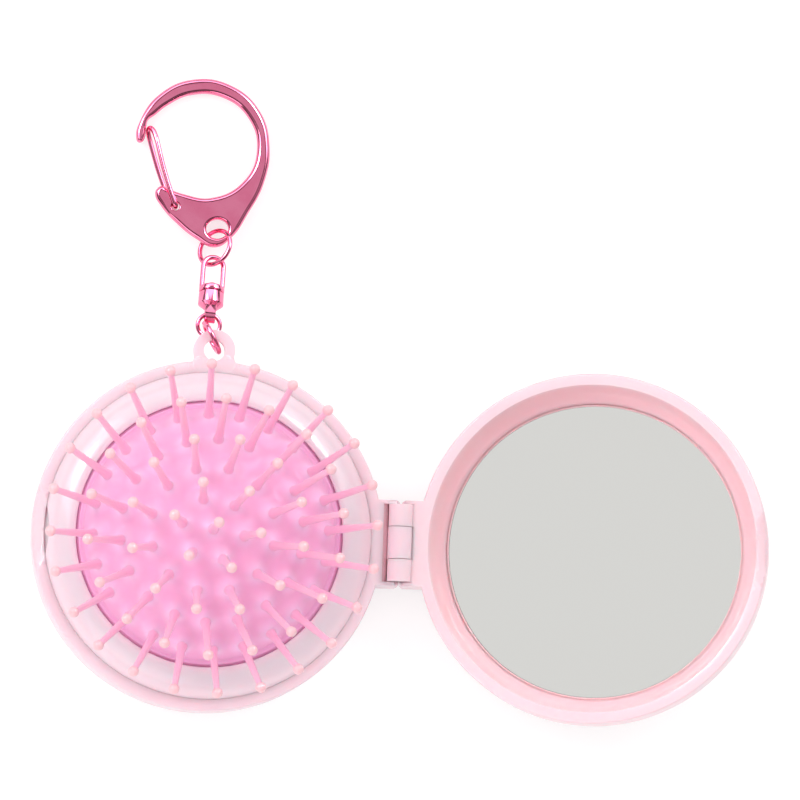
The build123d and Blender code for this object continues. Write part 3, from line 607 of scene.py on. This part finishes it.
for node, body, wire in (("key_ring", "chain_ring", 0.001), ("link_ring", "chain_link", 0.0008),
                         ("clasp_ring", "snap_ring", 0.0009)):
    middle, normal, radius = ring_frame(node)
    mesh = grown(node + "_wire", ring_tree, {"Ring Radius": radius, "Wire Radius": wire / 2})
    mesh.transform(Matrix.Translation(middle) @ normal.to_track_quat("Z", "Y").to_matrix().to_4x4())
    ring = new_piece(node + "_wire", mesh, None)
    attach(ring, body)
    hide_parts(node)

for node in ("swivel_eye", "swivel_rivet"):
    turning = moulded(node, node + "_turned", "swivel", pink_metal.material, sharp=40)
    rounding = turning.modifiers.new("rounded_edges", "BEVEL")
    rounding.width = 0.00022
    rounding.segments = 3
    rounding.limit_method = "ANGLE"
    rounding.angle_limit = math.radians(38)
    turning.modifiers.move(1, 0)


def placing(origin, across, along):
    """Matrix that puts X along across, Y along the other direction and the origin in its place."""
    normal = across.cross(along).normalized()
    turn = Matrix((across.normalized(), along.normalized(), normal)).transposed().to_4x4()
    return Matrix.Translation(origin) @ turn


def curve_mesh(name, points, matrix, radius):
    """Round wire along a smooth line through control points."""
    line = bpy.data.curves.new(name, "CURVE")
    line.dimensions = "3D"
    line.bevel_depth = radius
    line.bevel_resolution = 6
    line.use_fill_caps = True
    spline = line.splines.new("NURBS")
    spline.points.add(len(points) - 1)
    for point, place in zip(spline.points, points):
        point.co = (*place, 1)
    spline.order_u = 3
    spline.use_endpoint_u = True
    spline.resolution_u = 10
    carrier = bpy.data.objects.new(name + "_line", line)
    bpy.context.scene.collection.objects.link(carrier)
    mesh = bpy.data.meshes.new_from_object(carrier)
    bpy.data.objects.remove(carrier)
    mesh.transform(matrix)
    mesh.name = name
    return mesh


chain_heading = math.radians(3.5)
chain_slope = math.radians(19.4)
eye_middle = Vector((-0.0009005, 0.0419635, 0.00815))
chain_level = Vector((math.sin(chain_heading), math.cos(chain_heading), 0))
chain_down = chain_level * math.cos(chain_slope) - Vector((0, 0, math.sin(chain_slope)))
chain_across = chain_level.cross(Vector((0, 0, 1)))
shackle_roll = math.radians(-6)
shackle_across = (chain_across * math.cos(shackle_roll)
                  + chain_across.cross(chain_down) * math.sin(shackle_roll))
shackle_wire = 0.000475
shackle_foot = 0.0046
shackle_leg = 0.00195
shackle_length = 0.0081
leg_start = shackle_foot + 0.0007
foot_top = shackle_foot + 0.0012
arch = shackle_foot + shackle_length - shackle_wire - shackle_leg
shackle_points = [(-shackle_leg, leg_start, 0), (-shackle_leg, foot_top, 0)]
shackle_points += [
    (-shackle_leg * math.cos(math.pi * step / 12), arch + shackle_leg * math.sin(math.pi * step / 12), 0)
    for step in range(13)
]
shackle_points += [(shackle_leg, foot_top, 0), (shackle_leg, leg_start, 0)]
shackle_place = placing(eye_middle, shackle_across, chain_down)
shackle_mesh = curve_mesh("swivel_shackle_wire", shackle_points, shackle_place, shackle_wire)
foot_mesh = turned("shackle_foot", rounded([
    (0.00086, 0.0), (0.0021, 0.0), (0.0024, 0.0001), (0.00242, 0.0006), (0.0024, 0.0011), (0.0021, 0.0012),
    (0.00086, 0.0012),
], 4), 40, closed=True)
foot_mesh.transform(
    shackle_place @ Matrix.Translation((0, shackle_foot, 0)) @ Matrix.Rotation(-math.pi / 2, 4, "X"))
joined = bmesh.new()
joined.from_mesh(shackle_mesh)
joined.from_mesh(foot_mesh)
joined.to_mesh(shackle_mesh)
joined.free()
shackle = new_piece("swivel_shackle_wire", shackle_mesh, pink_metal.material)
crisp(shackle, 50)
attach(shackle, "shackle")
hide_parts("swivel_shackle")

# --- Clasp --------------------------------------------------------------------------------------
# A flat hook, die-cast in zinc with broad rounded edges and plated like the chain. Its nose takes the
# tip of the gate, and the oval eye at its tail rides on the ring.
clasp_heading = math.radians(10)
clasp_pitch = math.radians(3.35)
hook_middle = Vector((-0.0025165, 0.0746999, 0.0019467))
clasp_across = Vector((math.cos(clasp_heading), math.sin(clasp_heading), 0))
clasp_along = (Vector((-math.sin(clasp_heading), math.cos(clasp_heading), 0)) * math.cos(clasp_pitch)
               - Vector((0, 0, math.sin(clasp_pitch))))
clasp_place = placing(hook_middle, clasp_across, clasp_along)
clasp_half = 0.0011


def about(middle_x, middle_y, radius, angle):
    """Point in millimetres at an angle about a middle, in the clasp's plane."""
    turn = math.radians(angle)
    return (middle_x + radius * math.cos(turn), middle_y + radius * math.sin(turn))


def smooth_loop(points, corners=(), steps=10):
    """Closed smooth run through points in millimetres, with a corner at some of them, in metres."""
    curve = bpy.data.curves.new("loop", "CURVE")
    curve.dimensions = "2D"
    curve.fill_mode = "NONE"
    spline = curve.splines.new("BEZIER")
    spline.bezier_points.add(len(points) - 1)
    for index, (point, place) in enumerate(zip(spline.bezier_points, points)):
        point.co = (place[0] / 1000, place[1] / 1000, 0)
        point.handle_left_type = point.handle_right_type = "VECTOR" if index in corners else "AUTO"
    spline.use_cyclic_u = True
    spline.resolution_u = steps
    carrier = bpy.data.objects.new("loop", curve)
    bpy.context.scene.collection.objects.link(carrier)
    mesh = bpy.data.meshes.new_from_object(carrier)
    run = [Vector((v.co.x, v.co.y)) for v in mesh.vertices]
    bpy.data.objects.remove(carrier)
    bpy.data.meshes.remove(mesh)
    return run


def cast_plate(name, loops, roundings, half):
    """Flat casting between -half and half: an outline and holes, each edge rounded by its own size.

    Where the metal is too narrow for that size, the rounding takes what room there is."""
    runs = []
    for index, run in enumerate(loops):
        turn = sum(a.x * b.y - b.x * a.y for a, b in zip(run, run[1:] + run[:1]))
        runs.append(run if (turn > 0) == (index == 0) else run[::-1])
    inward = []
    for run in runs:
        inward.append([])
        for before, after in zip(run[-1:] + run[:-1], run[1:] + run[:1]):
            along = (after - before).normalized()
            inward[-1].append(Vector((-along.y, along.x)))
    every = [point for run in runs for point in run]
    shape = bmesh.new()
    caps = {1: [], -1: []}
    levels = 7
    for run, normals, rounding in zip(runs, inward, roundings):
        insets = []
        for point, normal in zip(run, normals):
            room = rounding
            for other in every:
                off = other - point
                ahead = off.dot(normal)
                if ahead > 1e-7:
                    room = min(room, 0.85 * off.length_squared / (2 * ahead))
            insets.append(room)
        for _ in range(3):
            insets = [
                min(here, (before + here + after) / 3)
                for before, here, after in zip(insets[-1:] + insets[:-1], insets, insets[1:] + insets[:1])
            ]
        for side in (1, -1):
            rings = []
            for level in range(levels + 1):
                turn = math.pi / 2 * level / levels
                height = side * (half - rounding * (1 - math.sin(turn)))
                rings.append([
                    shape.verts.new((*(point + normal * inset * (1 - math.cos(turn))), height))
                    for point, normal, inset in zip(run, normals, insets)
                ])
            for low, high in zip(rings, rings[1:]):
                for step in range(len(run)):
                    after = (step + 1) % len(run)
                    shape.faces.new((low[step], low[after], high[after], high[step]))
            caps[side].append(rings[-1])
            if side == 1:
                upper = rings[0]
        for step in range(len(run)):
            after = (step + 1) % len(run)
            shape.faces.new((upper[step], upper[after], rings[0][after], rings[0][step]))
    for side in (1, -1):
        corners = [vert for ring in caps[side] for vert in ring]
        for triangle in tessellate_polygon([[vert.co for vert in ring] for ring in caps[side]]):
            shape.faces.new([corners[index] for index in triangle])
    bmesh.ops.recalc_face_normals(shape, faces=shape.faces)
    mesh = bpy.data.meshes.new(name)
    shape.to_mesh(mesh)
    shape.free()
    return mesh


hook_outline = [about(-0.3, 0.25, radius, angle) for radius, angle in (
    (12.6, -9), (12.75, 25), (12.9, 58), (13.0, 90), (13.0, 122), (13.0, 150), (12.9, 165.5))]
hook_outline += [(-12.5, 2.65), (-11.8, 2.55), (-11.25, 3.1), (-10.5, 5.6), (-10.05, 6.55), (-8.6, 7.4)]
nose_corner = len(hook_outline) - 1
hook_outline += [about(-0.2, 0.25, radius, angle) for radius, angle in (
    (10.45, 124), (10.15, 95), (10.1, 60), (10.1, 25), (10.1, -12), (10.1, -50), (10.1, -90), (10.15, -122))]
hook_outline += [
    (-8.2, -6.95), (-9.2, -6.35), (-10.3, -6.75), (-10.75, -7.75), (-10.0, -10.0), (-7.4, -13.9),
    (-4.4, -17.1), (-0.9, -19.35), (2.5, -17.9), (6.3, -13.7), (9.9, -8.7),
]
eye_hole = [(-2.1, -15.9), (0.0, -14.1), (2.1, -15.9), (0.0, -17.85)]
pivot_hole = [about(-7.25, -10.65, 0.8, angle) for angle in range(0, 360, 60)]
hook_loops = [
    smooth_loop(hook_outline, corners=(nose_corner,)), smooth_loop(eye_hole),
    smooth_loop(pivot_hole, steps=5),
]
hook_roundings = (0.00095, 0.00065, 0.0002)
hook_mesh = cast_plate("clasp_hook", hook_loops, hook_roundings, clasp_half)
hook_mesh.transform(clasp_place)
hook = new_piece("clasp_hook", hook_mesh, pink_metal.material)
crisp(hook, 45)
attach(hook, "clasp")
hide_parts("clasp_body")

# --- Clasp gate ---------------------------------------------------------------------------------
# One length of round wire, bent double. Its two ends snap into the pivot hole from either face, and
# the spread of the legs springs the loop at its top against the hook's nose.
gate_line = [
    (-7.25, -10.65, 0.2), (-7.25, -10.65, 1.2), (-7.4, -10.0, 1.6), (-8.0, -7.0, 1.6), (-8.56, -3.1, 1.55),
    (-8.84, 0.0, 1.48), (-9.02, 2.8, 1.25), (-9.35, 4.5, 0.65), (-9.85, 5.2, 0.0), (-10.3, 4.8, -0.6),
    (-10.24, 3.4, -1.1), (-9.8, 0.0, -1.38), (-9.38, -3.1, -1.52), (-8.6, -7.0, -1.6), (-7.65, -10.0, -1.6),
    (-7.25, -10.65, -1.2), (-7.25, -10.65, -0.2),
]
gate_wire = 0.00047
gate_points = [tuple(value / 1000 for value in place) for place in gate_line]
gate_mesh = curve_mesh("clasp_gate_wire", gate_points, clasp_place, gate_wire)
gate = new_piece("clasp_gate_wire", gate_mesh, pink_metal.material)
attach(gate, "gate")
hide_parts("clasp_gate")

# --- Floor, lights and camera -------------------------------------------------------------------
# A white sweep, two soft boxes beyond the key loop with a broad one in front, and a studio dome that
# mirrors as light and dark bands round the table, which give bright metal its edges.
floor_mesh = bpy.data.meshes.new("floor")
floor_mesh.from_pydata([(-3, -3, 0), (3, -3, 0), (3, 3, 0), (-3, 3, 0)], [], [(0, 1, 2, 3)])
floor_finish = Finish("floor_white", roughness=0.9, emission_strength=1.0)
looked_at = floor_finish.node("ShaderNodeLightPath", {}, {}, "Is Camera Ray")
mirrored = floor_finish.node("ShaderNodeLightPath", {}, {}, "Is Glossy Ray")
through = floor_finish.node("ShaderNodeLightPath", {}, {}, "Is Transmission Ray")
floor_seen = (looked_at + mirrored + through).clamped()
floor_finish.paint("Base Color", floor_finish.mix(floor_seen, (0.86, 0.86, 0.86), (0.42, 0.42, 0.42)))
floor_finish.paint("Emission Color", floor_finish.mix(floor_seen, (0.0, 0.0, 0.0), (0.66, 0.66, 0.66)))
floor = new_piece("floor", floor_mesh, floor_finish.material, smooth=False)

world = bpy.data.worlds.new("studio")
bpy.context.scene.world = world
world.use_nodes = True


class Studio(Finish):
    """The world's own node tree, written with the same sums."""

    def __init__(self, tree):
        self.tree = tree
        self.shader = tree.nodes["Background"]


studio = Studio(world.node_tree)
direction = studio.node("ShaderNodeTexCoord", {}, {}, "Generated")
height = studio.node("ShaderNodeSeparateXYZ", {}, {0: direction}, 2)
depth = studio.node("ShaderNodeSeparateXYZ", {}, {0: direction}, 1)
dome_stops = [(position, (shade, shade, shade)) for position, shade in (
    (0.0, 0.9), (0.08, 0.2), (0.28, 0.04), (0.5, 0.4), (0.7, 0.7), (0.83, 0.04), (0.9, 0.1), (0.945, 0.7))]
dome = studio.node("ShaderNodeValToRGB", {"stops": dome_stops}, {0: height})
reflected = dome * studio.band(depth, -0.55, 0.0, 0.4, 1.0)
reflected += (2.2 * studio.band(depth, 0.1, 0.4) * studio.band(height, 0.2, 0.36)
              * (1.0 - studio.band(height, 0.6, 0.78)))
for azimuth in (47, 147):
    turn, rise = math.radians(azimuth), math.radians(42)
    window = Vector((math.cos(turn) * math.cos(rise), math.sin(turn) * math.cos(rise), math.sin(rise)))
    facing_window = studio.node(
        "ShaderNodeVectorMath", {"operation": "DOT_PRODUCT"}, {0: direction, 1: window}, "Value")
    reflected += 20.0 * studio.band(facing_window, 0.987, 0.994)
glossy = studio.node("ShaderNodeLightPath", {}, {}, "Is Glossy Ray")
clear = (studio.node("ShaderNodeLightPath", {}, {}, "Is Camera Ray")
         + studio.node("ShaderNodeLightPath", {}, {}, "Is Transmission Ray")).clamped()
fill = studio.mix(glossy, (0.76, 0.76, 0.76), reflected)
studio.paint("Color", studio.mix(clear, fill, (1.0, 1.0, 1.0)))


def soft_box(name, azimuth, elevation, distance, width, power):
    light = bpy.data.lights.new(name, "AREA")
    light.shape = "RECTANGLE"
    light.size = width
    light.size_y = width * 0.7
    light.energy = power
    lamp = bpy.data.objects.new(name, light)
    bpy.context.scene.collection.objects.link(lamp)
    turn, rise = math.radians(azimuth), math.radians(elevation)
    away = Vector((math.cos(turn) * math.cos(rise), math.sin(turn) * math.cos(rise), math.sin(rise)))
    lamp.location = Vector((0.03, 0, 0.01)) + away * distance
    lamp.rotation_euler = away.to_track_quat("Z", "Y").to_euler()
    return lamp


soft_box("key_left", 147, 42, 0.8, 0.5, 1.85)
soft_box("key_right", 47, 42, 0.8, 0.5, 1.45)
soft_box("front_fill", -120, 26, 0.9, 0.7, 2.0)

camera_data = bpy.data.cameras.new("camera")
camera_data.lens = 329.02
camera_data.sensor_width = 36
camera_data.clip_start = 0.01
camera_data.clip_end = 20
camera = bpy.data.objects.new("camera", camera_data)
bpy.context.scene.collection.objects.link(camera)
camera.location = (-0.08787, -0.10773, 1.37875)
camera.rotation_euler = (0.094872, -0.093089, 0.033102)
bpy.context.scene.camera = camera
bpy.context.scene.view_settings.view_transform = "Standard"
